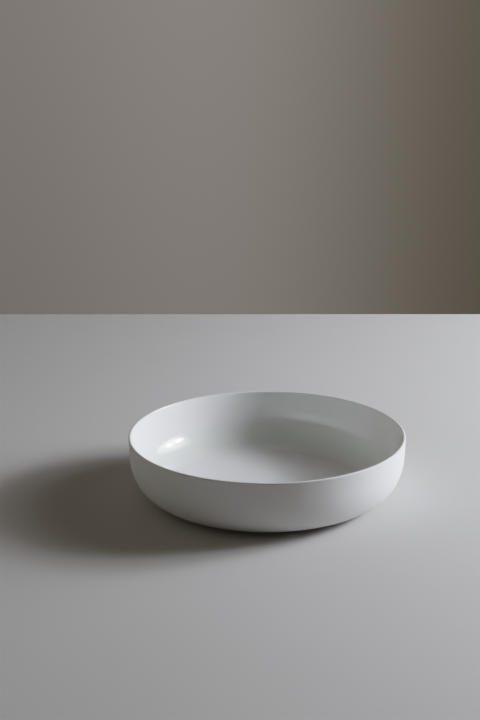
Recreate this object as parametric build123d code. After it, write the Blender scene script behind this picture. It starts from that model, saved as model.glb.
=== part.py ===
"""Low round serving bowl in hard porcelain: bare matte body with a glossy glaze lining.

Two closed solids are written in millimetres, one STEP file each:
    porcelain_body   the fired wall, floor and foot ring, bare outside and underneath
    inner_glaze      the glass coat over the inside and over the crown of the lip

Both are turned about Z. The origin is the centre of the foot ring's contact plane, so the
bowl stands on z = 0 and +Z points out of its mouth. Every wall surface has one half section,
tangent all the way: a straight cone down from the lip, a wide sweep arc, a tighter corner arc,
and the level floor.
"""
import os
from math import atan2, cos, degrees, radians, sin, tan

from build123d import *

# The whole bowl, glaze included.
RIM_RADIUS = 120.0                    # outside of the lip
HEIGHT = 55.0                         # table to the crown of the lip
LIP_THICKNESS = 2.4                   # a full round crowns the lip
FLOOR_THICKNESS = 4.3                 # outside of the foot ring, underside to glaze surface

# The wall, from the level floor up. The inside leans more, which thickens the wall downwards.
CORNER_RADIUS = 88.0                  # where both corner arcs leave the level
OUTER_CORNER_ROUND = 29.4
OUTER_CONE_FOOT = 37.0                # above the table, where the cone begins
OUTER_DRAFT = radians(2.3)            # the cone's lean from vertical
INNER_CORNER_ROUND = 27.7             # of the glaze surface
INNER_CONE_FOOT = 41.0
INNER_DRAFT = radians(2.8)

# The foot ring under the floor.
FOOT_HEIGHT = 2.0                     # table to the flat outside of the ring
FOOT_RECESS = 2.4                     # table to the panel inside the ring
FOOT_OUTER_RADIUS = 72.0
FOOT_WIDTH = 6.0
FOOT_EDGE_ROUND = 0.8
FOOT_ROOT_FILLET = 1.0

# The glaze coat.
GLAZE_THICKNESS = 0.3
GLAZE_EDGE_ANGLE = radians(60.0)      # above level, on the lip's outer shoulder

FLOOR_HEIGHT = FOOT_HEIGHT + FLOOR_THICKNESS
BODY_FLOOR_HEIGHT = FLOOR_HEIGHT - GLAZE_THICKNESS


class LipRound:
    """A round that crowns the lip, in the half section (x is radius, y is height)."""

    def __init__(self, round_radius, outermost_radius):
        self.radius = round_radius
        self.centre = (outermost_radius - round_radius, HEIGHT - LIP_THICKNESS / 2)

    def at(self, angle):
        """The point at an angle above the outward level direction."""
        x, y = self.centre
        return (x + self.radius * cos(angle), y + self.radius * sin(angle))

    def arc(self, start, end):
        return CenterArc(self.centre, self.radius, degrees(start), degrees(end - start))


class WallSurface:
    """The half section of one wall surface, from the level floor up to a point on the lip."""

    def __init__(self, lip_point, draft, cone_foot, corner_round, floor_height):
        self.floor_edge = (CORNER_RADIUS, floor_height)
        corner_centre = Vector(CORNER_RADIUS, floor_height + corner_round)
        cone_end = Vector(lip_point[0] - tan(draft) * (lip_point[1] - cone_foot), cone_foot)
        outward = Vector(cos(draft), -sin(draft))
        # Of the arcs tangent to the cone where it ends, the one that also touches the corner arc.
        gap = cone_end - corner_centre
        sweep_round = (gap.dot(gap) - corner_round**2) / (2 * (gap.dot(outward) - corner_round))
        sweep_centre = cone_end - outward * sweep_round
        centres = corner_centre - sweep_centre
        meeting = degrees(atan2(centres.Y, centres.X))
        corner = CenterArc(corner_centre, corner_round, -90, 90 + meeting)
        sweep = CenterArc(sweep_centre, sweep_round, meeting, -degrees(draft) - meeting)
        self.edges = [corner, sweep, Line(sweep @ 1, lip_point)]


# The outer surface of the whole bowl, and the round that the glazed lip shows.
lip = LipRound(LIP_THICKNESS / 2, RIM_RADIUS)
# The body's own lip is slimmer on the inside only, so the coat feathers out over the crown.
body_lip = LipRound((LIP_THICKNESS - GLAZE_THICKNESS) / 2, RIM_RADIUS)
INNER_SIDE = radians(180) - INNER_DRAFT   # where each lip round meets its inner cone

outside = WallSurface(
    lip.at(-OUTER_DRAFT), OUTER_DRAFT, OUTER_CONE_FOOT, OUTER_CORNER_ROUND, FOOT_HEIGHT
)
glaze_inside = WallSurface(
    lip.at(INNER_SIDE), INNER_DRAFT, INNER_CONE_FOOT, INNER_CORNER_ROUND, FLOOR_HEIGHT
)
body_corner_round = INNER_CORNER_ROUND + GLAZE_THICKNESS
body_inside = WallSurface(
    body_lip.at(INNER_SIDE), INNER_DRAFT, INNER_CONE_FOOT, body_corner_round, BODY_FLOOR_HEIGHT
)


def turned(outline):
    """The solid that a closed half section sweeps about Z."""
    return revolve(Plane.XZ * make_face(outline), Axis.Z)


def foot_outline():
    """The underside from the axis, round the foot ring, to the start of the outer corner."""
    ring_inner = FOOT_OUTER_RADIUS - FOOT_WIDTH
    edge, root = FOOT_EDGE_ROUND, FOOT_ROOT_FILLET
    rounds = [
        CenterArc((ring_inner - root, FOOT_RECESS - root), root, 90, -90),
        CenterArc((ring_inner + edge, edge), edge, 180, 90),
        CenterArc((FOOT_OUTER_RADIUS - edge, edge), edge, 270, 90),
        CenterArc((FOOT_OUTER_RADIUS + root, FOOT_HEIGHT - root), root, 180, -90),
    ]
    starts = [(0, FOOT_RECESS)] + [arc @ 1 for arc in rounds]
    ends = [arc @ 0 for arc in rounds] + [outside.floor_edge]
    return rounds + [Line(start, end) for start, end in zip(starts, ends)]


def porcelain_body():
    """Floor, wall, lip and foot ring, fired as one piece of clay."""
    axis = Line((0, BODY_FLOOR_HEIGHT), (0, FOOT_RECESS))
    floor = Line(body_inside.floor_edge, (0, BODY_FLOOR_HEIGHT))
    shoulder = lip.arc(-OUTER_DRAFT, GLAZE_EDGE_ANGLE)
    rebate = Line(lip.at(GLAZE_EDGE_ANGLE), body_lip.at(GLAZE_EDGE_ANGLE))
    crown = body_lip.arc(GLAZE_EDGE_ANGLE, INNER_SIDE)
    under = [axis, *foot_outline(), *outside.edges]
    over = [shoulder, rebate, crown, *body_inside.edges, floor]
    return turned(Curve() + under + over)


def inner_glaze():
    """The coat between the body's inside and the glossy surface, blunt at its outer edge."""
    axis = Line((0, FLOOR_HEIGHT), (0, BODY_FLOOR_HEIGHT))
    bonded_floor = Line((0, BODY_FLOOR_HEIGHT), body_inside.floor_edge)
    bonded_crown = body_lip.arc(GLAZE_EDGE_ANGLE, INNER_SIDE)
    edge = Line(body_lip.at(GLAZE_EDGE_ANGLE), lip.at(GLAZE_EDGE_ANGLE))
    crown = lip.arc(GLAZE_EDGE_ANGLE, INNER_SIDE)
    floor = Line(glaze_inside.floor_edge, (0, FLOOR_HEIGHT))
    bonded = [axis, bonded_floor, *body_inside.edges, bonded_crown]
    glossy = [edge, crown, *glaze_inside.edges, floor]
    return turned(Curve() + bonded + glossy)


os.makedirs("parts", exist_ok=True)
for build in (porcelain_body, inner_glaze):
    export_step(build(), f"parts/{build.__name__}.step")
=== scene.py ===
"""A low porcelain serving bowl on a plain table, in soft window light from the right.

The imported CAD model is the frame. Two pieces stand for its two nodes: the bare fired body and
the glossy coat over its inside and lip. Everything is in metres, in the frame's axes.
"""
import math

import bpy
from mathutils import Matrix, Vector


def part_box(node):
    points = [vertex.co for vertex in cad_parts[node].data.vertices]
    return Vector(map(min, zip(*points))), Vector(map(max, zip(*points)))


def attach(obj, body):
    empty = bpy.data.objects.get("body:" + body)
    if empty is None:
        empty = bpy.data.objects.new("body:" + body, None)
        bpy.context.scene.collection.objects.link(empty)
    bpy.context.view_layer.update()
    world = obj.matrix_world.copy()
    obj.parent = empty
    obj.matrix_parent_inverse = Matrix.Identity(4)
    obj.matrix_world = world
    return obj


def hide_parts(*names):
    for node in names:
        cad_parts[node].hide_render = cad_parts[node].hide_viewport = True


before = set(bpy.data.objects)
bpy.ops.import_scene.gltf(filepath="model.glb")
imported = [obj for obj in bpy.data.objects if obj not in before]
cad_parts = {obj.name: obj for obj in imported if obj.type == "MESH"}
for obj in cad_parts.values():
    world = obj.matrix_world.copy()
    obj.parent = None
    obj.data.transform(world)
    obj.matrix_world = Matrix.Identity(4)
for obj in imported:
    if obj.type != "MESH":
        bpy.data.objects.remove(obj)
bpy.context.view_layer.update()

MM = 0.001

# Read from the frame: the rim's radius, the height, and the level of the body's own floor.
_, body_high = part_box("porcelain_body")
glaze_low, glaze_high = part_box("inner_glaze")
RIM_RADIUS = body_high.x
HEIGHT = glaze_high.z
BODY_FLOOR_HEIGHT = glaze_low.z

# The CAD model's own driving dimensions, repeated.
LIP_THICKNESS = 2.4 * MM
GLAZE_THICKNESS = 0.3 * MM
GLAZE_EDGE_ANGLE = math.radians(60)   # above level, on the lip's outer shoulder
CORNER_RADIUS = 88 * MM
OUTER_DRAFT = math.radians(2.3)
OUTER_CONE_FOOT = 37 * MM
OUTER_CORNER_ROUND = 29.4 * MM
INNER_DRAFT = math.radians(2.8)
INNER_CONE_FOOT = 41 * MM
INNER_CORNER_ROUND = 27.7 * MM
FOOT_HEIGHT = 2.0 * MM
FOOT_RECESS = 2.4 * MM
FOOT_OUTER_RADIUS = 72 * MM
FOOT_WIDTH = 6.0 * MM
FOOT_EDGE_ROUND = 0.8 * MM
FOOT_ROOT_FILLET = 1.0 * MM
FLOOR_HEIGHT = BODY_FLOOR_HEIGHT + GLAZE_THICKNESS

# How finely the turned meshes are cut.
TURN_STEPS = 288
CORNER_STEPS = 32
SWEEP_STEPS = 16
CONE_STEPS = 8
LIP_STEPS = 14
FLOOR_STEPS = 26
FILLET_STEPS = 6
FOOT_STEPS = 4

# What the kiln does to a thin rim, largest at the lip and nothing at the foot.
RIM_OVAL = 0.14 * MM
RIM_TRILOBE = 0.06 * MM
RIM_DIP = 0.10 * MM
OVAL_TURN = math.radians(35)
DIP_TURN = math.radians(110)


# ---------------------------------------------------------------- outlines (radius, height)

def arc(centre, radius, start, end, steps):
    """Points along an arc, both ends included; angles in radians from outwards."""
    turns = [start + (end - start) * i / steps for i in range(steps + 1)]
    return [(centre[0] + radius * math.cos(t), centre[1] + radius * math.sin(t)) for t in turns]


def straight(start, end, steps):
    """Points along a line, both ends included."""
    shares = [i / steps for i in range(steps + 1)]
    return [(start[0] + (end[0] - start[0]) * s, start[1] + (end[1] - start[1]) * s) for s in shares]


def joined(*runs):
    """One outline from runs that meet end to start."""
    outline = list(runs[0])
    for run in runs[1:]:
        outline += run[1:]
    return outline


def lip_arc(round_radius, start, end):
    """The round on top of the wall, from one angle to another."""
    centre = (RIM_RADIUS - round_radius, HEIGHT - LIP_THICKNESS / 2)
    return arc(centre, round_radius, start, end, LIP_STEPS)


def wall(lip_point, draft, cone_foot, corner_round, floor_height):
    """A wall surface from the floor up to the lip: corner arc, sweep arc and cone, all tangent."""
    cone_end = (lip_point[0] - math.tan(draft) * (lip_point[1] - cone_foot), cone_foot)
    outward = (math.cos(draft), -math.sin(draft))
    corner_centre = (CORNER_RADIUS, floor_height + corner_round)
    gap = (cone_end[0] - corner_centre[0], cone_end[1] - corner_centre[1])
    reach = gap[0] * outward[0] + gap[1] * outward[1]
    sweep_round = (gap[0] ** 2 + gap[1] ** 2 - corner_round**2) / (2 * (reach - corner_round))
    sweep_centre = (cone_end[0] - sweep_round * outward[0], cone_end[1] - sweep_round * outward[1])
    meet = math.atan2(corner_centre[1] - sweep_centre[1], corner_centre[0] - sweep_centre[0])
    corner = arc(corner_centre, corner_round, -math.pi / 2, meet, CORNER_STEPS)
    sweep = arc(sweep_centre, sweep_round, meet, -draft, SWEEP_STEPS)
    return joined(corner, sweep, straight(sweep[-1], lip_point, CONE_STEPS))


def underside():
    """From the axis, round the foot ring, to the start of the outer corner."""
    ring_inner = FOOT_OUTER_RADIUS - FOOT_WIDTH
    edge, root = FOOT_EDGE_ROUND, FOOT_ROOT_FILLET
    level, upright = math.pi / 2, math.pi
    rounds = [
        arc((ring_inner - root, FOOT_RECESS - root), root, level, 0, FILLET_STEPS),
        arc((ring_inner + edge, edge), edge, upright, 3 * level, FILLET_STEPS),
        arc((FOOT_OUTER_RADIUS - edge, edge), edge, 3 * level, 4 * level, FILLET_STEPS),
        arc((FOOT_OUTER_RADIUS + root, FOOT_HEIGHT - root), root, upright, level, FILLET_STEPS),
    ]
    outline = straight((0, FOOT_RECESS), rounds[0][0], FLOOR_STEPS)
    for this, following in zip(rounds, rounds[1:] + [[(CORNER_RADIUS, FOOT_HEIGHT)]]):
        outline = joined(outline, this, straight(this[-1], following[0], FOOT_STEPS))
    return outline


def inner_wall(lip_point, coat):
    """The body's inside, or the surface of a coat of some thickness on it."""
    corner_round = INNER_CORNER_ROUND + GLAZE_THICKNESS - coat
    return wall(lip_point, INNER_DRAFT, INNER_CONE_FOOT, corner_round, BODY_FLOOR_HEIGHT + coat)


INNER_SIDE = math.pi - INNER_DRAFT
GLAZE_ROUND = LIP_THICKNESS / 2
BODY_ROUND = (LIP_THICKNESS - GLAZE_THICKNESS) / 2


def body_outline():
    """The bare body: underside, outer wall, lip, then down the inside under the glaze."""
    shoulder = lip_arc(GLAZE_ROUND, -OUTER_DRAFT, GLAZE_EDGE_ANGLE)
    crown = lip_arc(BODY_ROUND, GLAZE_EDGE_ANGLE, INNER_SIDE)
    inside = inner_wall(crown[-1], 0)[::-1]
    floor = straight(inside[-1], (0, BODY_FLOOR_HEIGHT), FLOOR_STEPS)
    outside = wall(shoulder[0], OUTER_DRAFT, OUTER_CONE_FOOT, OUTER_CORNER_ROUND, FOOT_HEIGHT)
    return joined(underside(), outside, shoulder) + joined(crown, inside, floor)


def glaze_outline():
    """The coat: its bonded side out to the edge on the lip, then its glossy side back in."""
    bonded_crown = lip_arc(BODY_ROUND, INNER_SIDE, GLAZE_EDGE_ANGLE)
    bonded = inner_wall(bonded_crown[0], 0)
    bonded_floor = straight((0, BODY_FLOOR_HEIGHT), bonded[0], FLOOR_STEPS)
    crown = lip_arc(GLAZE_ROUND, GLAZE_EDGE_ANGLE, INNER_SIDE)
    glossy = inner_wall(crown[-1], GLAZE_THICKNESS)[::-1]
    floor = straight(glossy[-1], (0, FLOOR_HEIGHT), FLOOR_STEPS)
    return joined(bonded_floor, bonded, bonded_crown) + joined(crown, glossy, floor)


# ---------------------------------------------------------------- turned meshes

def kiln_warp(radius, height, turn):
    """Where a point of the true outline ends up after firing."""
    softness = max(0.0, height / HEIGHT) ** 2
    wide = RIM_OVAL * math.cos(2 * (turn - OVAL_TURN)) + RIM_TRILOBE * math.cos(3 * turn)
    r = radius + softness * wide * radius / RIM_RADIUS
    z = height + softness * RIM_DIP * (math.cos(2 * (turn - DIP_TURN)) - 1) / 2
    return (r * math.cos(turn), r * math.sin(turn), z)


def turned(name, outline):
    """A closed mesh swept about Z from an outline whose first and last points are on the axis."""
    rings = outline[1:-1]
    turns = [2 * math.pi * i / TURN_STEPS for i in range(TURN_STEPS)]
    points = [kiln_warp(r, z, t) for r, z in rings for t in turns]
    first_pole = len(points)
    points += [(0, 0, outline[0][1]), (0, 0, outline[-1][1])]
    faces = []
    for i in range(TURN_STEPS):
        j = (i + 1) % TURN_STEPS
        for k in range(len(rings) - 1):
            low, high = k * TURN_STEPS, (k + 1) * TURN_STEPS
            faces.append((low + i, low + j, high + j, high + i))
        top = (len(rings) - 1) * TURN_STEPS
        faces.append((first_pole, j, i))
        faces.append((first_pole + 1, top + i, top + j))
    mesh = bpy.data.meshes.new(name)
    mesh.from_pydata(points, [], faces)
    mesh.update()
    mesh.shade_smooth()
    piece = bpy.data.objects.new(name, mesh)
    bpy.context.scene.collection.objects.link(piece)
    return piece


# ---------------------------------------------------------------- materials

def new_material(name):
    """A node material, and its shader node."""
    material = bpy.data.materials.new(name)
    material.use_nodes = True
    return material, material.node_tree.nodes["Principled BSDF"]


def add(owner, kind, **values):
    """Adds a node to a material, a light or the world, which is its owner.

    A value whose name is a socket's is set on that socket, and any other is a property.
    """
    node = owner.node_tree.nodes.new(kind)
    for key, value in values.items():
        socket = node.inputs.get(key.replace("_", " ").title())
        if socket is not None:
            socket.default_value = value
        else:
            setattr(node, key, value)
    return node


def link(owner, source, target):
    owner.node_tree.links.new(source, target)


def object_place(material):
    """The point's place in the frame, in metres."""
    return add(material, "ShaderNodeTexCoord").outputs["Object"]


NOISE_LOW = 0.3                       # nearly all of a noise lies between these
NOISE_HIGH = 0.7


def noise(material, place, size, detail=2.0, roughness=0.5):
    """Soft noise whose blobs are about this many metres across."""
    node = add(material, "ShaderNodeTexNoise", scale=1 / size, detail=detail, roughness=roughness)
    link(material, place, node.inputs["Vector"])
    return node.outputs["Fac"]


def remap(owner, value, low, high, to_low, to_high, smooth=False):
    """A value stretched from one range to another, and held at its ends."""
    node = add(owner, "ShaderNodeMapRange")
    if smooth:
        node.interpolation_type = "SMOOTHSTEP"
    link(owner, value, node.inputs["Value"])
    node.inputs["From Min"].default_value = low
    node.inputs["From Max"].default_value = high
    node.inputs["To Min"].default_value = to_low
    node.inputs["To Max"].default_value = to_high
    return node.outputs["Result"]


def multiply_add(owner, first, second, third):
    """The first times the second plus the third; each may be a number or a socket."""
    node = add(owner, "ShaderNodeMath", operation="MULTIPLY_ADD")
    for socket, value in zip(node.inputs, (first, second, third)):
        if isinstance(value, (int, float)):
            socket.default_value = value
        else:
            link(owner, value, socket)
    return node.outputs["Value"]


# The places of a Mix node's colour sockets, whose names its other kinds of socket share.
MIX_FIRST = 6
MIX_SECOND = 7
MIX_RESULT = 2


def mix_colours(material, share, first, second):
    """A colour between two, by a share from 0 to 1; either may be a socket."""
    node = add(material, "ShaderNodeMix", data_type="RGBA")
    link(material, share, node.inputs["Factor"])
    for place, colour in ((MIX_FIRST, first), (MIX_SECOND, second)):
        if isinstance(colour, tuple):
            node.inputs[place].default_value = (*colour, 1)
        else:
            link(material, colour, node.inputs[place])
    return node.outputs[MIX_RESULT]


def ramp(owner, share, stops):
    """A colour read from (share, colour) stops."""
    node = add(owner, "ShaderNodeValToRGB")
    band = node.color_ramp
    band.interpolation = "B_SPLINE"
    while len(band.elements) < len(stops):
        band.elements.new(0.5)
    for element, (position, colour) in zip(band.elements, stops):
        element.position = position
        element.color = (*colour, 1)
    link(owner, share, node.inputs["Fac"])
    return node.outputs["Color"]


def bump(material, height, distance, strength, under=None):
    """A bump of this depth in metres, on top of another bump if one is given."""
    node = add(material, "ShaderNodeBump", distance=distance, strength=strength)
    link(material, height, node.inputs["Height"])
    if under is not None:
        link(material, under, node.inputs["Normal"])
    return node.outputs["Normal"]


def height_above_table(material, place):
    split = add(material, "ShaderNodeSeparateXYZ")
    link(material, place, split.inputs["Vector"])
    return split.outputs["Z"]


CLAY_DARK = (0.743, 0.734, 0.715)
CLAY_LIGHT = (0.780, 0.774, 0.759)
CLAY_GRAIN = (0.794, 0.790, 0.780)
CLAY_RUBBED = (0.70, 0.68, 0.645)
CLAY_CLOUD_SIZE = 14 * MM
CLAY_ROUGHNESS = (0.62, 0.74)
GRAIN_SIZE = 0.7 * MM
GRAIN_DEPTH = 0.02 * MM
FETTLING_SIZE = 60 * MM               # the length of the faint lines that turning leaves
FETTLING_SQUEEZE = 40                 # their length over their width
FETTLING_DEPTH = 0.05 * MM
RUBBED_WHOLLY = 0.1 * MM              # the foot is rubbed up to this far above the table
RUBBED_UP_TO = 0.8 * MM               # and less and less up to this far
RUBBED_SMOOTHER = 0.3                 # how much less rough it is there


def bare_porcelain():
    """Fired, unglazed porcelain: fine stone-like grain, faint fettling lines, a rubbed foot."""
    material, shader = new_material("bare_porcelain")
    place = object_place(material)
    height = height_above_table(material, place)
    cloud = noise(material, place, CLAY_CLOUD_SIZE, detail=3)
    clay = mix_colours(material, cloud, CLAY_DARK, CLAY_LIGHT)
    fine = noise(material, place, GRAIN_SIZE, detail=3, roughness=0.65)
    grain = remap(material, fine, NOISE_LOW, NOISE_HIGH, 0, 1)
    speckled = mix_colours(material, grain, clay, CLAY_GRAIN)
    rubbed = remap(material, height, RUBBED_WHOLLY, RUBBED_UP_TO, 1, 0, smooth=True)
    link(material, mix_colours(material, rubbed, speckled, CLAY_RUBBED), shader.inputs["Base Color"])

    fired = remap(material, cloud, NOISE_LOW, NOISE_HIGH, *CLAY_ROUGHNESS)
    smoother = multiply_add(material, rubbed, -RUBBED_SMOOTHER, fired)
    link(material, smoother, shader.inputs["Roughness"])

    squeezed = add(material, "ShaderNodeMapping")
    squeezed.inputs["Scale"].default_value = (1, 1, FETTLING_SQUEEZE)
    link(material, place, squeezed.inputs["Vector"])
    lines = noise(material, squeezed.outputs["Vector"], FETTLING_SIZE, detail=3)
    fettled = bump(material, lines, FETTLING_DEPTH, strength=0.25)
    surface = bump(material, fine, GRAIN_DEPTH, strength=0.5, under=fettled)
    link(material, surface, shader.inputs["Normal"])
    shader.inputs["IOR"].default_value = 1.5
    shader.inputs["Specular IOR Level"].default_value = 0.35
    return material


GLAZE_DARK = (0.848, 0.848, 0.840)
GLAZE_LIGHT = (0.868, 0.868, 0.862)
# A greener, slightly darker colour low on the inner wall, from just above the floor up to the lower
# wall.
GLAZE_LOW_TINT = (0.826, 0.860, 0.808)
GLAZE_THIN = (0.86, 0.85, 0.835)
GLAZE_CLOUD_SIZE = 22 * MM
GLAZE_ROUGHNESS = (0.01, 0.025)
LOW_TINT_EDGE = 3 * MM                    # the greener, darker tint is whole from this far above the floor
LOW_TINT_DEEP = 10 * MM                   # up to this far
LOW_TINT_TOP = 24 * MM                    # and gone at this
THIN_FROM = 1.6 * MM                  # the coat thins from this far below the lip's crown
THIN_WHOLLY = 0.2 * MM                # up to this far
THIN_SHARE = 0.7                      # how much of the thin tint it then has
SWELL_SIZE = 30 * MM                  # the coat's long waves, which bend the highlights
SWELL_DEPTH = 0.08 * MM
PEEL_SIZE = 2.2 * MM                  # and its fine ones
PEEL_DEPTH = 0.01 * MM


def clear_glaze():
    """Clear glaze on white porcelain: mirror-smooth, greener and a little darker low on the inner wall.
    """
    material, shader = new_material("clear_glaze")
    place = object_place(material)
    height = height_above_table(material, place)
    cloud = noise(material, place, GLAZE_CLOUD_SIZE, detail=2)
    coated = mix_colours(material, cloud, GLAZE_DARK, GLAZE_LIGHT)
    floor, crown = FLOOR_HEIGHT, HEIGHT
    low = remap(material, height, floor + LOW_TINT_DEEP, floor + LOW_TINT_TOP, 1, 0, smooth=True)
    off_floor = remap(material, height, floor, floor + LOW_TINT_EDGE, 0, 1, smooth=True)
    greener = mix_colours(material, multiply_add(material, low, off_floor, 0), coated, GLAZE_LOW_TINT)
    thinned = remap(material, height, crown - THIN_FROM, crown - THIN_WHOLLY, 0, THIN_SHARE, smooth=True)
    link(material, mix_colours(material, thinned, greener, GLAZE_THIN), shader.inputs["Base Color"])
    roughness = remap(material, cloud, NOISE_LOW, NOISE_HIGH, *GLAZE_ROUGHNESS)
    link(material, roughness, shader.inputs["Roughness"])

    waves = noise(material, place, SWELL_SIZE, detail=1)
    swell = bump(material, waves, SWELL_DEPTH, strength=0.5)
    ripples = noise(material, place, PEEL_SIZE, detail=1)
    surface = bump(material, ripples, PEEL_DEPTH, strength=0.25, under=swell)
    link(material, surface, shader.inputs["Normal"])
    shader.inputs["IOR"].default_value = 1.6
    shader.inputs["Specular IOR Level"].default_value = 0.5
    return material


TABLE_DARK = (0.576, 0.563, 0.544)
TABLE_LIGHT = (0.610, 0.597, 0.578)
TABLE_CLOUD_SIZE = 0.25


def table_paint():
    """The table's plain pale surface."""
    material, shader = new_material("table_paint")
    place = object_place(material)
    cloud = noise(material, place, TABLE_CLOUD_SIZE, detail=3)
    link(material, mix_colours(material, cloud, TABLE_DARK, TABLE_LIGHT), shader.inputs["Base Color"])
    shader.inputs["Roughness"].default_value = 0.9
    shader.inputs["Specular IOR Level"].default_value = 0.1
    return material


# ---------------------------------------------------------------- the object

def finish_piece(piece, material, node):
    piece.data.materials.append(material)
    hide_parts(node)
    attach(piece, "root")


finish_piece(turned("fired_body", body_outline()), bare_porcelain(), "porcelain_body")
finish_piece(turned("glaze_coat", glaze_outline()), clear_glaze(), "inner_glaze")


# ---------------------------------------------------------------- table, room, light, camera

# The room's radiance from the left (share 0) to the right (share 1); 0.5 is straight behind.
ROOM_ACROSS = [
    (0.00, (0.415, 0.430, 0.395)),
    (0.25, (0.210, 0.190, 0.195)),
    (0.42, (0.142, 0.134, 0.128)),
    (0.50, (0.238, 0.222, 0.212)),
    (0.58, (0.070, 0.063, 0.050)),
    (0.70, (0.110, 0.100, 0.085)),
    (1.00, (0.110, 0.100, 0.085)),
]
# The share of it that is there, from straight down (share 0) to straight up (share 1).
ROOM_UP = [
    (0.36, (0.78, 0.78, 0.78)),
    (0.48, (1.00, 1.00, 1.00)),
    (0.80, (1.00, 1.00, 1.00)),
    (0.96, (0.36, 0.36, 0.36)),
]
# Over the table's level it is dark in front. Backwards plus FRONT_RISE of upwards says how far in
# front a direction is: little light below FRONT_DARK, all of it above FRONT_CLEAR.
FRONT_RISE = 0.80
FRONT_DARK = -0.70
FRONT_CLEAR = 0.05
FRONT_SHARE = 0.04
LEVEL_BLEND = 0.04                    # how far under the table's level the dark part fades out

TABLE_BACK = 0.609                    # behind the bowl's middle
TABLE_FRONT = -15.0                   # far enough to be out of sight, like the half width
TABLE_HALF_WIDTH = 15.0
TABLE_TURN = math.radians(-1.2)

CAMERA_LENS = 75                      # millimetres, like the sensor's width
SENSOR_WIDTH = 36
CAMERA_PLACE = (-0.0229, -1.2306, HEIGHT + 0.4337)
CAMERA_PITCH = math.radians(16.62)
CAMERA_ROLL = math.radians(-0.32)

# The lens adds a little veiling glare, and the film shows bright surfaces brighter than in
# proportion.
LENS_GLARE = (0.018, 0.016, 0.012)
FILM_RESPONSE = [(0.1, 0.1), (0.3, 0.3), (0.5, 0.52), (0.8, 1.0)]    # brightness in, and out
BRIGHTNESS_CURVE = 3                  # its place, after the curves of red, green and blue

WINDOW_DISTANCE = 1.43
WINDOW_COLOUR = (0.855, 0.897, 1.0)
FADED_SHARE = math.pi / 12            # the mean of a light's cone of brightness over its square


def table():
    """A level top whose back edge shows behind the bowl."""
    corners = [
        (-TABLE_HALF_WIDTH, TABLE_FRONT, 0),
        (TABLE_HALF_WIDTH, TABLE_FRONT, 0),
        (TABLE_HALF_WIDTH, TABLE_BACK, 0),
        (-TABLE_HALF_WIDTH, TABLE_BACK, 0),
    ]
    mesh = bpy.data.meshes.new("table")
    mesh.from_pydata(corners, [], [(0, 1, 2, 3)])
    mesh.materials.append(table_paint())
    top = bpy.data.objects.new("table", mesh)
    top.rotation_euler.z = TABLE_TURN
    bpy.context.scene.collection.objects.link(top)


def room():
    """A dim room: a grey wall behind, most light from the left, dark in front."""
    world = bpy.data.worlds.new("room")
    world.use_nodes = True
    bpy.context.scene.world = world
    background = world.node_tree.nodes["Background"]
    split = add(world, "ShaderNodeSeparateXYZ")
    link(world, add(world, "ShaderNodeTexCoord").outputs["Generated"], split.inputs["Vector"])
    across, back, up = split.outputs
    link(world, ramp(world, remap(world, across, -1, 1, 0, 1), ROOM_ACROSS), background.inputs["Color"])

    lifted = multiply_add(world, up, FRONT_RISE, back)
    front = remap(world, lifted, FRONT_DARK, FRONT_CLEAR, FRONT_SHARE, 1, smooth=True)
    under = remap(world, up, -LEVEL_BLEND, 0, 1, 0, smooth=True)
    lit = add(world, "ShaderNodeMath", operation="MAXIMUM")
    link(world, front, lit.inputs[0])
    link(world, under, lit.inputs[1])
    overhead = ramp(world, remap(world, up, -1, 1, 0, 1), ROOM_UP)
    link(world, multiply_add(world, lit.outputs[0], overhead, 0), background.inputs["Strength"])


def towards(azimuth, elevation):
    """A direction; azimuth 0 is towards the camera and 90 is to the right, in degrees."""
    a, e = math.radians(azimuth), math.radians(elevation)
    return Vector((math.sin(a) * math.cos(e), -math.cos(a) * math.cos(e), math.sin(e)))


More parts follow.
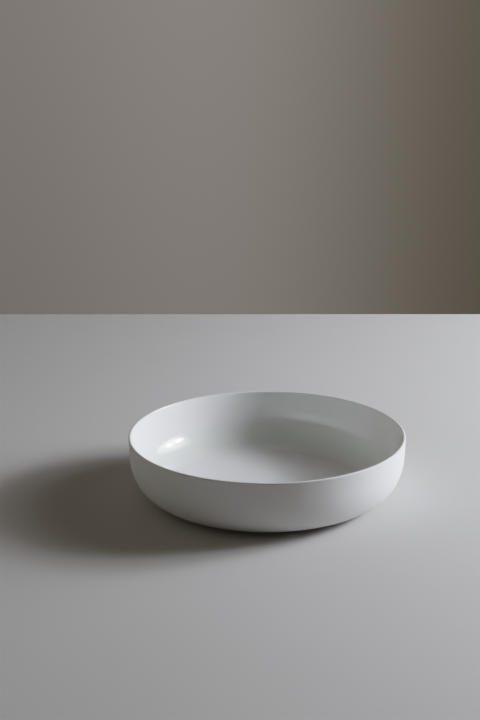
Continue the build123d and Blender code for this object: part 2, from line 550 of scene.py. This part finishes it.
def window_light(name, azimuth, elevation, across, up, strength):
    """A patch of window as seen from the bowl: place and size in degrees, normal irradiance."""
    light = bpy.data.lights.new(name, "AREA")
    light.shape = "RECTANGLE"
    light.size = WINDOW_DISTANCE * math.radians(across)
    light.size_y = WINDOW_DISTANCE * math.radians(up)
    light.energy = strength * math.pi * WINDOW_DISTANCE**2 / FADED_SHARE
    light.color = WINDOW_COLOUR
    light.use_nodes = True
    fade_to_edges(light)
    holder = bpy.data.objects.new(name, light)
    bpy.context.scene.collection.objects.link(holder)
    direction = towards(azimuth, elevation)
    holder.location = direction * WINDOW_DISTANCE + Vector((0, 0, HEIGHT / 2))
    holder.rotation_euler = direction.to_track_quat("Z", "Y").to_euler()


def fade_to_edges(light):
    """Makes a light brightest in its middle, falling straight to nothing at its edges."""
    centred = add(light, "ShaderNodeMapping")
    centred.inputs["Location"].default_value = (-1, -1, 0)
    centred.inputs["Scale"].default_value = (2, 2, 0)
    link(light, add(light, "ShaderNodeNewGeometry").outputs["Parametric"], centred.inputs["Vector"])
    cone = add(light, "ShaderNodeTexGradient", gradient_type="SPHERICAL")
    link(light, centred.outputs["Vector"], cone.inputs["Vector"])
    link(light, cone.outputs["Fac"], light.node_tree.nodes["Emission"].inputs["Strength"])


def camera():
    """At the height of someone seated at the table, level in yaw and a hair off level in roll."""
    data = bpy.data.cameras.new("camera")
    data.lens = CAMERA_LENS
    data.sensor_width = SENSOR_WIDTH
    holder = bpy.data.objects.new("camera", data)
    bpy.context.scene.collection.objects.link(holder)
    holder.location = CAMERA_PLACE
    holder.rotation_euler = (math.pi / 2 - CAMERA_PITCH, 0, 0)
    holder.rotation_euler.rotate_axis("Z", CAMERA_ROLL)
    bpy.context.scene.camera = holder


def look():
    """A photographic tone curve, with the lens's glare and the film's response before it."""
    view = bpy.context.scene.view_settings
    view.view_transform = "Filmic"
    view.look = "Very High Contrast"
    view.use_curve_mapping = True
    film = view.curve_mapping
    film.extend = "EXTRAPOLATED"
    film.black_level = [-glare for glare in LENS_GLARE]
    response = film.curves[BRIGHTNESS_CURVE].points
    response[-1].location = FILM_RESPONSE[-1]
    for brightness_in, brightness_out in FILM_RESPONSE[:-1]:
        response.new(brightness_in, brightness_out)
    film.update()


table()
room()
window_light("window_glow", azimuth=104, elevation=19.5, across=48, up=60, strength=2.46)
window_light("window_far_pane", azimuth=94, elevation=25, across=13, up=12, strength=0.85)
window_light("window_near_pane", azimuth=106.5, elevation=23.5, across=11, up=10, strength=0.85)
camera()
look()
